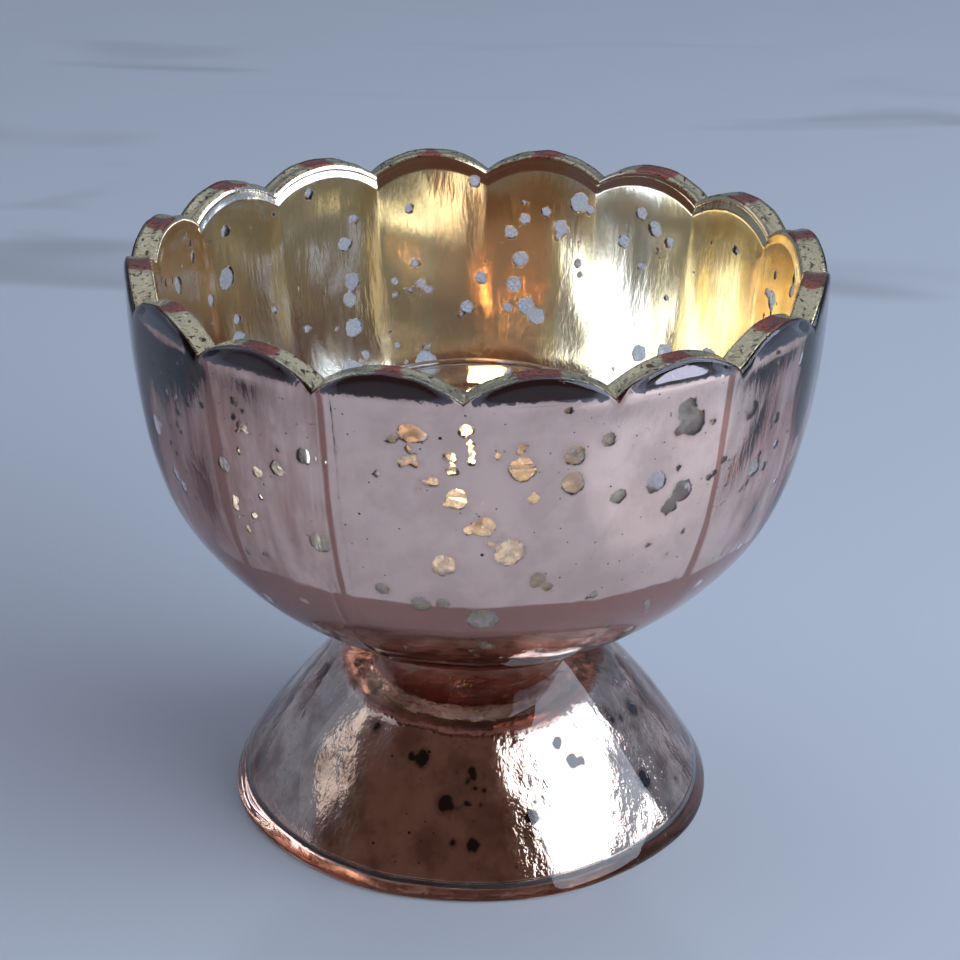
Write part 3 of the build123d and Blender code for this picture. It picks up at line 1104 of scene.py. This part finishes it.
def make_world():
    """A dim room towards -Y, pale walls elsewhere and a bright ceiling towards +Y."""
    world = bpy.data.worlds.new("soft room")
    bpy.context.scene.world = world
    world.use_nodes = True
    tree = world.node_tree
    tree.nodes.clear()
    direction = put(tree, "ShaderNodeTexCoord", output="Generated")
    height = put(tree, "ShaderNodeSeparateXYZ", {"Vector": direction}, output="Z")
    depth = put(tree, "ShaderNodeSeparateXYZ", {"Vector": direction}, output="Y")
    dim, pale = rgba((0.085, 0.05, 0.043)), rgba((0.16, 0.20, 0.28))
    walls = blend_colour(tree, spread(tree, depth, -0.45, 0.25), dim, pale)
    patches = spread(tree, noise(tree, direction, 2.6, 1.0), 0.42, 0.58, 0.25, 1.0)
    ceiling = calc(tree, "MULTIPLY", spread(tree, height, 0.50, 0.72), spread(tree, depth, -0.35, 0.15))
    colour = blend_colour(tree, calc(tree, "MULTIPLY", ceiling, patches), walls, rgba((0.95, 1.02, 1.22)))
    background = put(tree, "ShaderNodeBackground", {"Color": colour, "Strength": 1.0})
    out = tree.nodes.new("ShaderNodeOutputWorld")
    tree.links.new(background, out.inputs["Surface"])


CAMERA_PLACE = (9.088, -291.618, 180.72)
CAMERA_TURN = (65.287, -0.712, 1.975)  # degrees of tilt, roll and swing


def make_camera():
    """Looks a little down on the holder from the front."""
    data = bpy.data.cameras.new("camera")
    data.lens = lights().lens
    data.sensor_width = 36.0
    data.clip_start, data.clip_end = 0.01, 20.0
    camera = bpy.data.objects.new("camera", data)
    bpy.context.scene.collection.objects.link(camera)
    turn = Euler([math.radians(angle) for angle in CAMERA_TURN])
    camera.matrix_world = Matrix.LocRotScale(Vector(CAMERA_PLACE) * MM, turn, None)
    bpy.context.scene.camera = camera


def set_light_paths():
    """Mirrors inside glass need more bounces than the defaults."""
    scene = bpy.context.scene
    scene.view_settings.view_transform = "Standard"
    cycles = scene.cycles
    cycles.max_bounces = 28
    cycles.glossy_bounces = 16
    cycles.transmission_bounces = 20
    cycles.transparent_max_bounces = 48
    cycles.sample_clamp_indirect = 6.0
    cycles.use_denoising = True


# ---- Operators ---------------------------------------------------------------------------------
def dress(body, pieces):
    """Builds pieces on one body; each stands in for a CAD node, which it hides; the finish named with each
    piece is not used.
    """
    for make, node, slot in pieces:
        piece = make()
        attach(piece, body)
        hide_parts(node)


class HOLDER_OT_glass_bowl(bpy.types.Operator):
    """Builds the panelled, scalloped bowl"""

    bl_idname = "holder.glass_bowl"
    bl_label = "Glass bowl"

    def execute(self, context):
        dress("holder", [(make_glass_bowl, "glass_bowl", "rose_glass")])
        return {"FINISHED"}


class HOLDER_OT_glass_foot(bpy.types.Operator):
    """Builds the flared hollow foot"""

    bl_idname = "holder.glass_foot"
    bl_label = "Glass foot"

    def execute(self, context):
        dress("holder", [(make_glass_foot, "glass_foot", "rose_glass")])
        return {"FINISHED"}


class HOLDER_OT_films(bpy.types.Operator):
    """Builds the mirror films of the bowl and the foot"""

    bl_idname = "holder.films"
    bl_label = "Mirror films"

    def execute(self, context):
        films = [
            (make_bowl_silvering, "bowl_silvering", "silvering"),
            (make_bowl_lacquer, "bowl_lacquer", "gold_lacquer"),
            (make_foot_silvering, "foot_silvering", "foot_silvering"),
        ]
        dress("holder", films)
        return {"FINISHED"}


class HOLDER_OT_tealight_cup(bpy.types.Operator):
    """Builds the tealight's clear cup"""

    bl_idname = "holder.tealight_cup"
    bl_label = "Tealight cup"

    def execute(self, context):
        dress("cup", [(make_tealight_cup, "tealight_cup", "clear_cup")])
        return {"FINISHED"}


class HOLDER_OT_candle(bpy.types.Operator):
    """Builds the wax, wick, sustainer and flame"""

    bl_idname = "holder.candle"
    bl_label = "Candle"

    def execute(self, context):
        parts = [
            (make_wax, "tealight_wax", "wax"),
            (make_sustainer, "wick_sustainer", "sustainer_steel"),
            (make_wick, "tealight_wick", "wick_cotton"),
        ]
        dress("candle", parts)
        flame = make_flame()
        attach(flame, "candle")
        return {"FINISHED"}


class HOLDER_OT_stage(bpy.types.Operator):
    """Sets the table, lights, room and camera"""

    bl_idname = "holder.stage"
    bl_label = "Stage"

    def execute(self, context):
        make_floor()
        cool, warm = (0.74, 0.85, 1.0), (1.0, 0.96, 0.90)
        add_window("right window", 73, 27, 0.95, 1.08, 0.62, lights().window_power, cool)
        add_window("left window", -94, 24, 1.3, 0.45, 0.55, lights().side_power, warm)
        make_world()
        make_camera()
        set_light_paths()
        return {"FINISHED"}


class HOLDER_PT_sidebar(bpy.types.Panel):
    """Lists the holder's pieces in the sidebar"""

    bl_idname = "HOLDER_PT_sidebar"
    bl_label = "Tealight holder"
    bl_space_type = "VIEW_3D"
    bl_region_type = "UI"
    bl_category = "Tealight holder"

    def draw(self, context):
        for operator in OPERATORS:
            self.layout.operator(operator.bl_idname)
        for group in (context.scene.holder_colours, context.scene.holder_lights):
            for key in group.bl_rna.properties.keys():
                if key not in ("rna_type", "name"):
                    self.layout.prop(group, key)


OPERATORS = (
    HOLDER_OT_glass_bowl,
    HOLDER_OT_glass_foot,
    HOLDER_OT_films,
    HOLDER_OT_tealight_cup,
    HOLDER_OT_candle,
    HOLDER_OT_stage,
)
CLASSES = (HolderColours, HolderLights, *OPERATORS, HOLDER_PT_sidebar)


def register():
    for cls in CLASSES:
        bpy.utils.register_class(cls)
    bpy.types.Scene.holder_colours = bpy.props.PointerProperty(type=HolderColours)
    bpy.types.Scene.holder_lights = bpy.props.PointerProperty(type=HolderLights)


def unregister():
    del bpy.types.Scene.holder_lights
    del bpy.types.Scene.holder_colours
    for cls in reversed(CLASSES):
        bpy.utils.unregister_class(cls)


def main():
    register()
    bpy.ops.holder.glass_bowl()
    bpy.ops.holder.glass_foot()
    bpy.ops.holder.films()
    bpy.ops.holder.tealight_cup()
    bpy.ops.holder.candle()
    bpy.ops.holder.stage()


if __name__ == "__main__":
    main()
